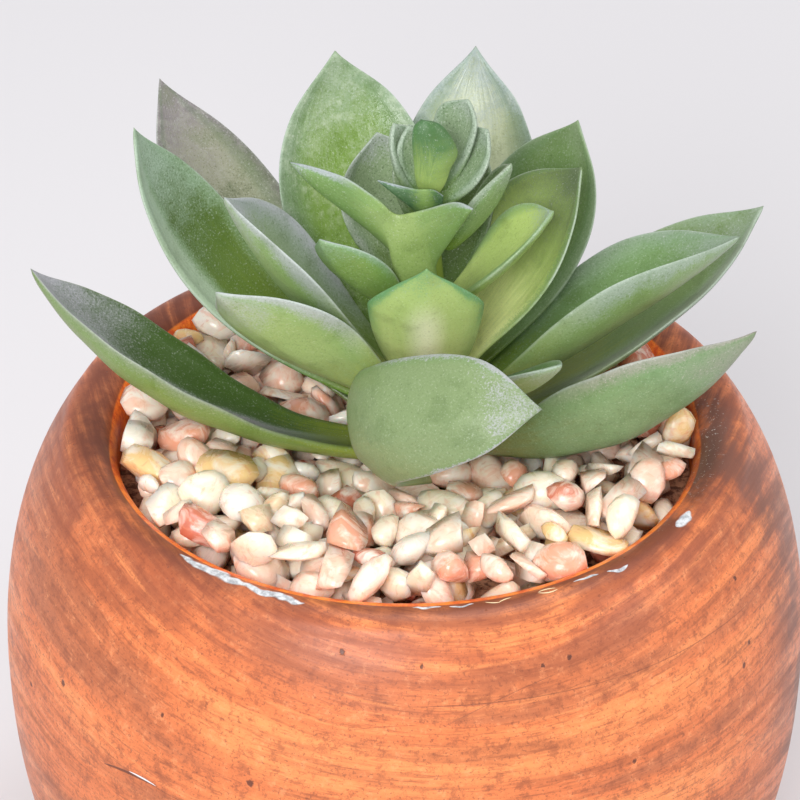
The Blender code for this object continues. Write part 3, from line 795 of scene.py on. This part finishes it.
def bezier(start, pull_start, pull_end, end, steps):
    """Points of a cubic curve, without its first point."""
    points = []
    for step in range(1, steps + 1):
        t = step / steps
        s = 1 - t
        points.append(tuple(
            s ** 3 * a + 3 * s * s * t * b + 3 * s * t * t * c + t ** 3 * d
            for a, b, c, d in zip(start, pull_start, pull_end, end)))
    return points


def arc(centre, radius, start, end, steps):
    """Points of an arc, without its first point."""
    points = []
    for step in range(1, steps + 1):
        angle = start + (end - start) * step / steps
        points.append((centre[0] + radius * math.cos(angle), centre[1] + radius * math.sin(angle)))
    return points


def pot_outline():
    """Mouth, lip, belly and foot outside, then the floor and the bore inside."""
    lip_centre = (LIP_CENTRE_RADIUS, LIP_CENTRE_HEIGHT)
    mouth = (LIP_CENTRE_RADIUS - LIP_RADIUS, LIP_CENTRE_HEIGHT)
    outline = [mouth] + arc(lip_centre, LIP_RADIUS, math.pi, LIP_START, LIP_STEPS)
    lip_point = outline[-1]
    lip_pull = (lip_point[0] + math.sin(LIP_START) * LIP_PULL,
                lip_point[1] - math.cos(LIP_START) * LIP_PULL)
    belly = (POT_RADIUS, BELLY_HEIGHT)
    outline += bezier(lip_point, lip_pull, (POT_RADIUS, BELLY_HEIGHT + UPPER_BELLY_PULL), belly,
                      BELLY_STEPS)
    foot = (FOOT_RADIUS + FOOT_EDGE, FOOT_EDGE)
    foot_pull = (FOOT_RADIUS + FOOT_PULL[0], FOOT_EDGE + FOOT_PULL[1])
    outline += bezier(belly, (POT_RADIUS, BELLY_HEIGHT - LOWER_BELLY_PULL), foot_pull, foot,
                      BELLY_STEPS)
    outline += arc((FOOT_RADIUS, FOOT_EDGE), FOOT_EDGE, 0, -math.pi / 2, FOOT_STEPS)
    outline += [(FOOT_RADIUS * 0.5, 0.0), (0.0, 0.0), (0.0, BORE_FLOOR_HEIGHT),
                (BORE_FLOOR_RADIUS, BORE_FLOOR_HEIGHT)]
    for step in range(1, BORE_STEPS + 1):
        share = step / BORE_STEPS
        outline.append((BORE_FLOOR_RADIUS + (mouth[0] - BORE_FLOOR_RADIUS) * share,
                        BORE_FLOOR_HEIGHT + (mouth[1] - BORE_FLOOR_HEIGHT) * share))
    return outline


def turned_piece(name, outline, segments, material):
    """Draw an outline point by point with Extrude, then spin it about Z into a closed body."""
    deselect_all()
    bpy.ops.mesh.primitive_plane_add(size=0.001, location=(0, 0, 0))
    obj = bpy.context.object
    obj.name = name
    bpy.ops.object.mode_set(mode="EDIT")
    bpy.ops.mesh.merge(type="CENTER")
    last = Vector((outline[0][0], 0, outline[0][1]))
    bpy.ops.transform.translate(value=last)
    for radius, height in outline[1:]:
        here = Vector((radius, 0, height))
        bpy.ops.mesh.extrude_region_move(TRANSFORM_OT_translate={"value": here - last})
        last = here
    bpy.ops.mesh.select_all(action="SELECT")
    bpy.ops.mesh.spin(steps=segments, angle=2 * math.pi, center=(0, 0, 0), axis=(0, 0, 1))
    bpy.ops.mesh.select_all(action="SELECT")
    bpy.ops.mesh.remove_doubles(threshold=0.00001)
    bpy.ops.mesh.normals_make_consistent(inside=False)
    bpy.ops.object.mode_set(mode="OBJECT")
    bpy.ops.object.transform_apply(location=True, rotation=True, scale=True)
    bpy.ops.object.shade_smooth_by_angle(angle=SMOOTH_ANGLE)
    obj.data.materials.append(material)
    return obj


def pot_place(tree):
    """Degrees round the pot from its front, then millimetres from its axis and above its foot."""
    parts = split(tree, object_vector(tree, scale=1000))
    turn = math_node(tree, "ARCTAN2", parts["X"], times(tree, parts["Y"], -1.0))
    reach = length_of(tree, flat_place(tree, parts["X"], parts["Y"]))
    return times(tree, turn, 180 / math.pi), reach, parts["Z"]


def stroke(tree, place, start, end, width, bow):
    """A mask for a thin line between two places, bowed by an amount and drawn out at its ends."""
    middle = ((start[0] + end[0]) / 2, (start[1] + end[1]) / 2, 0)
    slope = math.atan2(end[1] - start[1], end[0] - start[0])
    local = add_node(tree, "ShaderNodeMapping",
                     {"Vector": place, "Location": middle, "Rotation": (0, 0, slope)},
                     vector_type="TEXTURE")
    parts = split(tree, local.outputs["Vector"])
    share = math_node(tree, "DIVIDE", parts["X"], math.dist(start, end) / 2)
    room = math_node(tree, "SUBTRACT", 1.0, math_node(tree, "POWER", share, 2.0), clamp=True)
    off = math_node(tree, "ABSOLUTE", minus(tree, parts["Y"], times(tree, room, bow)))
    reach = times(tree, math_node(tree, "SQRT", room), width)
    return ramp(tree, minus(tree, reach, off), 0.0, 0.4 * width)


def strokes(tree, place, lines):
    """One mask for several thin lines."""
    return strongest(tree, [stroke(tree, place, *line) for line in lines])


def ring_depth(tree):
    """Distance from the tilted pith of the log that the pot looks turned from, a little warped."""
    log = add_node(tree, "ShaderNodeMapping",
                   {"Vector": object_vector(tree), "Location": PITH_PLACE,
                    "Rotation": (PITH_TILT, 0, 0)}, vector_type="TEXTURE")
    parts = split(tree, log.outputs["Vector"])
    warp = times(tree, noise(tree, object_vector(tree), 11, detail=1), 0.016)
    return plus(tree, length_of(tree, flat_place(tree, parts["X"], parts["Y"])), warp)


def ring_noise(tree, depth, along_scale, across_scale, detail, roughness):
    """Noise drawn out along the wood's rings: fine across them and slow along them."""
    new = add_node(tree, "ShaderNodeTexNoise",
                   {"Vector": object_vector(tree), "Scale": along_scale, "Detail": detail,
                    "Roughness": roughness, "W": times(tree, depth, across_scale / along_scale)},
                   noise_dimensions="4D")
    return new.outputs["Fac"]


def pot_pores(tree, place, speckle):
    """A mask of scattered pores with ragged rims."""
    cells = add_node(tree, "ShaderNodeTexVoronoi", {"Vector": place, "Scale": 520.0})
    chance = add_node(tree, "ShaderNodeSeparateColor", {"Color": cells.outputs["Color"]})
    size = ramp(tree, chance.outputs["Red"], 0.45, 1.0, 0.0, 0.12)
    ragged = plus(tree, cells.outputs["Distance"], swing(tree, speckle, 0.25))
    return ramp(tree, minus(tree, size, ragged), -0.02, 0.04)


def pot_dents(tree, belly, speckle):
    """A mask of the pits and cracks in the belly."""
    masks = []
    for across, up, radius in POT_PITS:
        span = add_node(tree, "ShaderNodeVectorMath", {0: belly, 1: (across, up, 0)},
                        operation="DISTANCE")
        ragged = plus(tree, span.outputs["Value"], swing(tree, speckle, 0.9))
        masks.append(ramp(tree, ragged, radius * 1.1, radius * 0.6))
    masks.append(times(tree, strokes(tree, belly, POT_CRACKS), 0.9))
    masks.append(times(tree, strokes(tree, belly, POT_HAIRLINES), 0.45))
    return strongest(tree, masks)


def raw_edge(tree, turn, reach, height):
    """A mask of the raw inner wall, which shows a little wider at the front than at the back."""
    facing = math_node(tree, "COSINE", times(tree, turn, math.pi / 180))
    spread = strongest(tree, (times(tree, facing, 2.7), times(tree, facing, -1.2)))
    inner = ramp(tree, minus(tree, reach, spread), 43.25, 42.95)
    return times(tree, inner, ramp(tree, height, 70, 80))


def pot_material():
    """Wood-look finish: brown rings about a tilted pith on orange, pits, cracks, a burnt lip, painted
    shade and highlights.
    """
    material, tree, shader = new_material("pot_finish")
    turn, reach, height = pot_place(tree)
    belly = flat_place(tree, turn, height)
    place = object_vector(tree)
    depth = ring_depth(tree)
    broad = ring_noise(tree, depth, 12, 120, 2.0, 0.5)
    medium = ring_noise(tree, depth, 34, 560, 4.0, 0.65)
    fine = ring_noise(tree, depth, 220, 2400, 3.0, 0.7)
    mottle = noise(tree, place, 420, detail=6, roughness=0.78)
    speckle = noise(tree, place, 2200, detail=2, roughness=0.7)
    cloud = noise(tree, place, 75, detail=5, roughness=0.62)
    torn = noise(tree, place, 900, detail=4, roughness=0.7)

    wood = blend(tree, ramp(tree, broad, 0.36, 0.50), paint((242, 144, 86)), paint((222, 124, 74)))
    bands = times(tree, ramp(tree, broad, 0.49, 0.60), ramp(tree, cloud, 0.30, 0.60, 0.25, 1.0))
    wood = coat(tree, wood, bands, (160, 98, 70), 0.62)
    for grain, low, high, strength, tone in (
            (medium, 0.49, 0.66, 0.52, (156, 86, 56)), (medium, 0.47, 0.34, 0.40, (255, 160, 98)),
            (fine, 0.50, 0.66, 0.48, (132, 72, 50)), (mottle, 0.50, 0.64, 0.55, (140, 76, 52)),
            (mottle, 0.46, 0.34, 0.35, (255, 172, 118)), (speckle, 0.57, 0.68, 0.50, (112, 64, 50))):
        wood = coat(tree, wood, ramp(tree, grain, low, high), tone, strength)

    smoke_and_shade_noise = plus(tree, cloud, swing(tree, medium, 0.9))
    shoulder = ramp(tree, height, 80, 90)
    crest = times(tree, ramp(tree, reach, 50.5, 47.0), ramp(tree, height, 84, 89))
    # Smoke darkens the shoulder and the crest; the side zone is painted shade down the pot's right
    # side, broken up like the grain
    side = window(tree, turn, *STREAKED_AND_SHADED_SIDE, 8.0)
    for zone, low, high, least, most, tone in (
            (shoulder, 0.35, 0.62, 0.05, 0.60, (150, 78, 54)),
            (crest, 0.30, 0.60, 0.32, 0.85, (112, 58, 42)),
            (side, 0.36, 0.62, 0.10, 0.80, (120, 78, 64))):
        smoke_and_shade = times(tree, zone, ramp(tree, smoke_and_shade_noise, low, high, least, most))
        wood = coat(tree, wood, smoke_and_shade, tone)

    pore = pot_pores(tree, place, speckle)
    wood = coat(tree, wood, pore, (92, 52, 42), 0.35)
    dent = pot_dents(tree, belly, speckle)
    wood = coat(tree, wood, dent, (78, 46, 40), 0.85)
    raw = blend(tree, ramp(tree, mottle, 0.42, 0.62), paint((255, 142, 52)), paint((222, 92, 40)))
    wood = blend(tree, raw_edge(tree, turn, reach, height), wood, raw)

    burnt = times(tree, window(tree, turn, *BURNT_SIDE, 14.0), window(tree, reach, 41.5, 46.6, 1.6))
    burnt = times(tree, burnt, ramp(tree, height, 84, 88))
    burnt = times(tree, burnt, ramp(tree, cloud, 0.34, 0.56))
    wood = coat(tree, wood, burnt, (76, 56, 50), 0.54)
    dust = times(tree, burnt, ramp(tree, speckle, 0.62, 0.70))
    wood = coat(tree, wood, dust, (216, 214, 212), 0.6)

    around = times(tree, turn, LIP_MM_PER_DEGREE)
    on_lip = ramp(tree, height, 88, 90)
    wander = swing(tree, noise(tree, place, 380, detail=1), 1.8)
    # Silver chips on the lip; the two short ones at the front are painted highlights
    chip_and_highlight = strokes(tree, flat_place(tree, around, plus(tree, reach, wander)), LIP_CHIPS_AND_HIGHLIGHTS)
    chip_and_highlight = times(tree, times(tree, chip_and_highlight, ramp(tree, torn, 0.26, 0.36)), on_lip)
    silver = blend(tree, ramp(tree, torn, 0.36, 0.62), paint((164, 166, 172)),
                   paint((218, 220, 224)))
    wood = blend(tree, chip_and_highlight, wood, silver)
    glue = times(tree, strokes(tree, flat_place(tree, around, reach), LIP_GLUE), on_lip)
    wood = coat(tree, wood, glue, (246, 226, 184))
    wood = coat(tree, wood, stroke(tree, belly, *POT_SPLINTER), (236, 236, 240))

    set_inputs(tree, shader, {"Base Color": wood, "Coat Weight": 0.07, "Coat Roughness": 0.20,
                              "Roughness": ramp(tree, medium, 0.3, 0.7, 0.34, 0.50),
                              "Specular IOR Level": 0.30})
    relief = minus(tree, times(tree, fine, 0.25), strongest(tree, (dent, pore)))
    relief = plus(tree, relief, times(tree, torn, 0.15))
    add_bump(tree, shader, minus(tree, relief, times(tree, chip_and_highlight, 0.8)), 0.35, 0.0004)
    return material


def build_pot():
    """The turned pot with a smooth lip."""
    finish_piece(turned_piece("pot_body", pot_outline(), POT_SEGMENTS, pot_material()), "pot", "pot")


def pebble_material():
    """Polished stone: each pebble takes its tint from its own number, with veins and clouds."""
    material, tree, shader = new_material("pebble_finish")
    tint = attribute(tree, "tint")
    stones = add_node(tree, "ShaderNodeValToRGB", {"Fac": tint})
    stones.color_ramp.interpolation = "CONSTANT"
    elements = stones.color_ramp.elements
    elements.remove(elements[-1])
    elements[0].color = paint(PEBBLE_TINTS[0][1])
    for start, tone in PEBBLE_TINTS[1:]:
        elements.new(start).color = paint(tone)
    shift = flat_place(tree, times(tree, tint, 7.0), 0.0)
    moved = add_node(tree, "ShaderNodeVectorMath", {0: object_vector(tree), 1: shift},
                     operation="ADD")
    place = moved.outputs["Vector"]
    cloud = noise(tree, place, 190, detail=4, roughness=0.6, distortion=1.5)
    vein = noise(tree, place, 270, detail=4, roughness=0.6, distortion=2.0)
    stone = stones.outputs["Color"]
    stone = coat(tree, stone, ramp(tree, cloud, 0.42, 0.66), (255, 241, 227), 0.8)
    stone = coat(tree, stone, ramp(tree, vein, 0.52, 0.68), (232, 160, 124), 0.42)
    stone = coat(tree, stone, ramp(tree, vein, 0.38, 0.26), (204, 132, 92), 0.38)
    set_inputs(tree, shader, {"Base Color": stone, "Coat Weight": 0.3, "Coat Roughness": 0.15,
                              "Roughness": ramp(tree, cloud, 0.3, 0.7, 0.20, 0.38),
                              "Subsurface Weight": 0.50, "Subsurface Scale": 0.0025,
                              "Subsurface Radius": (1.0, 0.62, 0.45)})
    add_bump(tree, shader, vein, 0.15, 0.0003)
    return material


def make_pebble_kinds(draw):
    """A few tumbled chips: the hull of a knocked cube or ball, worn smooth."""
    kinds = []
    for number in range(PEBBLE_KINDS):
        deselect_all()
        if number % 2:
            bpy.ops.mesh.primitive_cube_add(size=1.55)
        else:
            bpy.ops.mesh.primitive_ico_sphere_add(subdivisions=1, radius=1.2)
        obj = bpy.context.object
        obj.name = "pebble_kind_%d" % number
        for vertex in obj.data.vertices:
            vertex.co = [value * draw.uniform(0.55, 1.25) for value in vertex.co]
        for vertex in draw.sample(list(obj.data.vertices), 1 + number % 2):
            vertex.co *= 0.2
        obj.scale = (draw.uniform(1.20, 1.85), draw.uniform(0.92, 1.22), draw.uniform(0.60, 0.90))
        make_active(obj)
        bpy.ops.object.transform_apply(location=False, rotation=False, scale=True)
        bpy.ops.object.mode_set(mode="EDIT")
        bpy.ops.mesh.select_all(action="SELECT")
        bpy.ops.mesh.convex_hull()
        bpy.ops.mesh.select_all(action="SELECT")
        bpy.ops.mesh.subdivide(number_cuts=1)
        bpy.ops.mesh.vertices_smooth(factor=0.5, repeat=2)
        bpy.ops.object.mode_set(mode="OBJECT")
        bpy.ops.object.shade_smooth()
        kinds.append(obj)
    return kinds


def bed_height(radius):
    """Height of the soil bed under the pebbles."""
    share = min(1.0, max(0.0, (radius - BED_SLOPE_START) / BED_SLOPE_WIDTH))
    rise = (BED_HEIGHT_AT_WALL - BED_HEIGHT_AT_STEM) * share * share * (3 - 2 * share)
    return BED_HEIGHT_AT_STEM + rise


def leaf_tree():
    """The leaves' solids as one search tree, to keep pebbles clear of them."""
    points, faces = [], []
    for name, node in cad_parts.items():
        if "leaf" not in name:
            continue
        start = len(points)
        points += [tuple(vertex.co) for vertex in node.data.vertices]
        faces += [tuple(start + index for index in face.vertices) for face in node.data.polygons]
    return BVHTree.FromPolygons(points, faces)


def drop_pebbles(draw, leaves):
    """Places for the pebbles: each falls into the lowest of a few places, on those before it."""
    wall = LIP_CENTRE_RADIUS - LIP_RADIUS
    placed = np.empty((0, 4))
    for attempt in range(PEBBLE_TRIES):
        if len(placed) == PEBBLE_COUNT:
            break
        size = draw.triangular(PEBBLE_LEAST, PEBBLE_MOST, PEBBLE_USUAL)
        best = (PEBBLE_HEAP, None)
        for choice in range(PEBBLE_CHOICES):
            radius = math.sqrt(draw.uniform(0.0, (wall - PEBBLE_WALL_ROOM * size) ** 2))
            angle = draw.uniform(-math.pi, math.pi)
            x = radius * math.cos(angle)
            y = radius * math.sin(angle)
            if math.hypot(x - PLANT_X, y) < STEM_OUTLINE[0][1] + size * PEBBLE_STEM_ROOM:
                continue
            height = bed_height(radius) - PEBBLE_BED_DEPTH + size * PEBBLE_REST_HEIGHT
            if len(placed):
                flat = (placed[:, 0] - x) ** 2 + (placed[:, 1] - y) ** 2
                touch = (placed[:, 3] + size) * PEBBLE_CLOSENESS
                over = np.sqrt(np.maximum(touch * touch - flat, 0)) * PEBBLE_FLATNESS
                height = max(height, float(np.max(np.where(flat < touch * touch,
                                                           placed[:, 2] + over, 0))))
            excess = height - bed_height(radius)
            if excess >= best[0]:
                continue
            if leaves.find_nearest(Vector((x, y, height)))[3] > size * PEBBLE_LEAF_ROOM:
                best = (excess, x, y, height)
        if best[1] is not None:
            placed = np.vstack((placed, (*best[1:], size)))
    return placed


def build_gravel():
    """Loose pebbles over a dark bed, as one piece."""
    draw = random.Random(PEBBLE_SEED)
    kinds = make_pebble_kinds(draw)
    places = drop_pebbles(draw, leaf_tree())
    copies = []
    for x, y, z, size in places:
        kind = draw.choice(kinds)
        mesh = kind.data.copy()
        turn = Euler((draw.gauss(0, PEBBLE_TILT), draw.gauss(0, PEBBLE_TILT),
                      draw.uniform(0, 2 * math.pi)))
        mesh.transform(Matrix.LocRotScale(Vector((x, y, z)), turn, Vector((size, size, size))))
        tint = mesh.attributes.new("tint", "FLOAT", "POINT")
        tint.data.foreach_set("value", [draw.random()] * len(mesh.vertices))
        copy = bpy.data.objects.new("pebble", mesh)
        bpy.context.scene.collection.objects.link(copy)
        copies.append(copy)
    for kind in kinds:
        bpy.data.objects.remove(kind, do_unlink=True)
    make_active(*copies)
    bpy.ops.object.join()
    gravel = bpy.context.object
    gravel.name = "pebbles"
    gravel.data.materials.append(pebble_material())
    finish_piece(gravel, "pebbles", "gravel")


def bed_material():
    """Dark, gritty filler that shows only between the pebbles."""
    material, tree, shader = new_material("bed_finish")
    grit = noise(tree, object_vector(tree), 700, detail=5, roughness=0.7)
    colour = blend(tree, ramp(tree, grit, 0.4, 0.6), paint((104, 62, 44)), paint((190, 136, 104)))
    set_inputs(tree, shader, {"Base Color": colour, "Roughness": 0.9})
    add_bump(tree, shader, grit, 0.8, 0.0008)
    return material


def build_bed():
    """The dished top of the filling, under the pebbles."""
    wall = LIP_CENTRE_RADIUS - LIP_RADIUS - BED_GAP
    outline = []
    for step in range(BED_STEPS + 1):
        radius = wall * step / BED_STEPS
        outline.append((radius, bed_height(radius) - PEBBLE_BED_DEPTH))
    outline += [(wall - BED_TAPER, BED_UNDERSIDE), (0.0, BED_UNDERSIDE)]
    finish_piece(turned_piece("bed", outline, BED_SEGMENTS, bed_material()), "soil")


def stem_material():
    """Olive stem, mottled."""
    material, tree, shader = new_material("stem_finish")
    cloud = noise(tree, object_vector(tree), 500, detail=4)
    colour = blend(tree, cloud, paint((120, 136, 52)), paint((168, 184, 92)))
    set_inputs(tree, shader, {"Base Color": colour, "Roughness": 0.5})
    add_bump(tree, shader, cloud, 0.2, 0.0003)
    return material


def dress_hidden_nodes():
    """The stem and the soil keep their solids and get their finishes."""
    for name, material in (("stem", stem_material()), ("soil", bed_material())):
        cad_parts[name].material_slots[0].material = material


def build_stage():
    """A plain pale floor, a pale surround and soft lights."""
    deselect_all()
    bpy.ops.mesh.primitive_plane_add(size=6, location=(0, 0, 0))
    floor = bpy.context.object
    floor.name = "floor"
    material, tree, shader = new_material("floor_finish")
    set_inputs(tree, shader, {"Base Color": (0.672, 0.662, 0.678, 1), "Roughness": 0.9,
                              "Specular IOR Level": 0.1})
    floor.data.materials.append(material)

    world = bpy.data.worlds.new("studio")
    world.use_nodes = True
    set_inputs(world.node_tree, world.node_tree.nodes["Background"],
               {"Color": (1.0, 0.99, 1.01, 1), "Strength": 0.60})
    bpy.context.scene.world = world

    for name, place, size, power in LIGHTS:
        lamp = bpy.data.lights.new(name, "AREA")
        lamp.shape = "SQUARE"
        lamp.size = size
        lamp.energy = power
        obj = bpy.data.objects.new(name, lamp)
        obj.location = place
        to_plant = Vector((0, 0, LIGHT_AIM_HEIGHT)) - Vector(place)
        obj.rotation_euler = to_plant.to_track_quat("-Z", "Y").to_euler()
        bpy.context.scene.collection.objects.link(obj)


def build_camera():
    """The photograph's view."""
    data = bpy.data.cameras.new("camera")
    data.sensor_width = SENSOR_WIDTH
    data.lens = FOCAL_PIXELS / PHOTO_SIZE * SENSOR_WIDTH
    data.shift_x = -AXIS_OFFSET_PIXELS / PHOTO_SIZE
    data.clip_start = 0.01
    camera = bpy.data.objects.new("camera", data)
    back = Vector((0, -math.cos(VIEW_ELEVATION), math.sin(VIEW_ELEVATION)))
    camera.location = VIEW_CENTRE + back * VIEW_DISTANCE
    camera.rotation_euler = (math.pi / 2 - VIEW_ELEVATION, 0, 0)
    bpy.context.scene.collection.objects.link(camera)
    bpy.context.scene.camera = camera


def main():
    """Dress the potted plant and set it in its studio."""
    bpy.context.scene.view_settings.view_transform = "Standard"
    build_camera()
    make_leaf_skin()
    build_pot()
    build_bed()
    build_gravel()
    build_leaves()
    build_cluster("leaf_pair", LEAF_PAIR, "inner_leaf")
    build_cluster("heart", HEART_LEAVES + HEART_SHEETS, "heart")
    dress_hidden_nodes()
    build_stage()


main()
